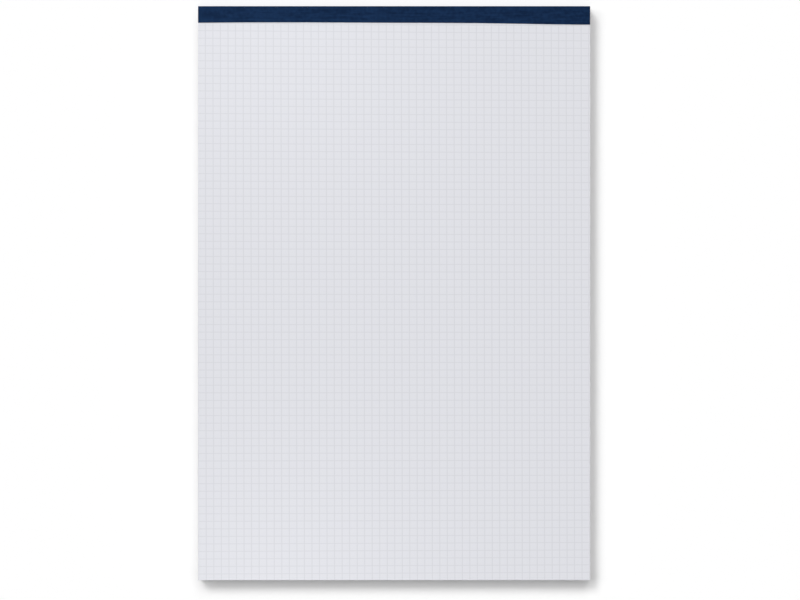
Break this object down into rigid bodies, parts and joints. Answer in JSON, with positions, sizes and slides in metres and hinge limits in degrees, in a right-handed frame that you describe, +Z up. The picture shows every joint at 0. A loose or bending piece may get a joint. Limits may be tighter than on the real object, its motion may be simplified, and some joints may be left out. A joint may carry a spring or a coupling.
{
  "type": "legal pad",
  "caption": "Head-bound writing pad: a block of white sheets ruled in small squares on a grey backing board, stapled under a navy tape folded over the head.",
  "frame": {"origin": "under the middle of the pad, on the surface that it lies on", "axes": "+Z up out of the top sheet, +Y along the sheets to the bound head, +X across the pad to the right of its writer"},
  "size_m": [0.21, 0.3076, 0.0095],
  "materials": {
    "paper": "white writing paper with thin grey squares, uncoated",
    "board": "grey chipboard, flecked, matte",
    "tape": "navy cloth-grained binding tape, satin",
    "wire": "galvanised flat wire"
  },
  "bodies": {
    "root": {"writing_sheets": "paper", "backing_board": "board", "binding_tape": "tape", "left_staple": "wire", "right_staple": "wire"}
  },
  "joints": []
}
